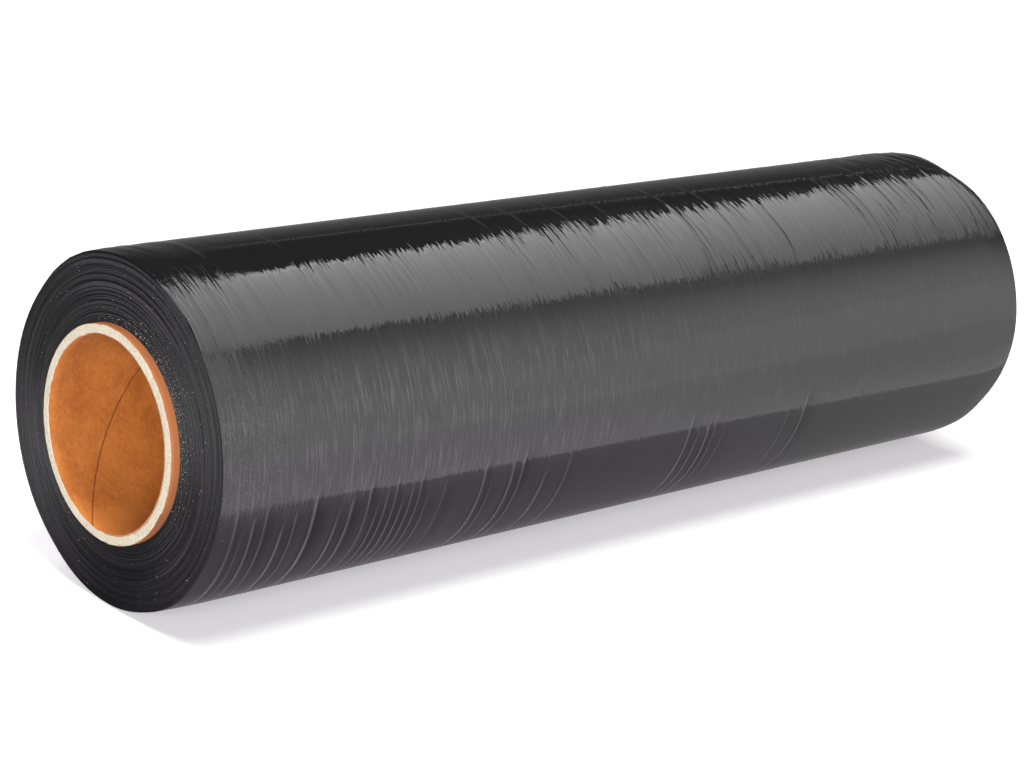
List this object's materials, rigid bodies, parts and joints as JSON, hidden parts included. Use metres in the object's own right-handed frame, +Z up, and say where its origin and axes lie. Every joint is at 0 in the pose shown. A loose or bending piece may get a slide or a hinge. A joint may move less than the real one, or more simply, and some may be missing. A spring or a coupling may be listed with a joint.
{
  "type": "stretch wrap roll",
  "caption": "Roll of glossy black stretch film wound on a brown spiral-wound paperboard core, lying on its side.",
  "frame": {"origin": "on the surface that the roll rests on, under the middle of the roll", "axes": "+X along the roll's axis, +Y across it, +Z up from the surface"},
  "size_m": [0.4652, 0.137, 0.1367],
  "materials": {
    "core_board": "uncoated kraft paperboard, matt, brown plies with a pale grey cut edge",
    "black_film": "glossy black polyethylene film with fine streaks around the roll"
  },
  "bodies": {
    "root": {"core_tube": "core_board", "film_roll": "black_film"}
  },
  "joints": []
}
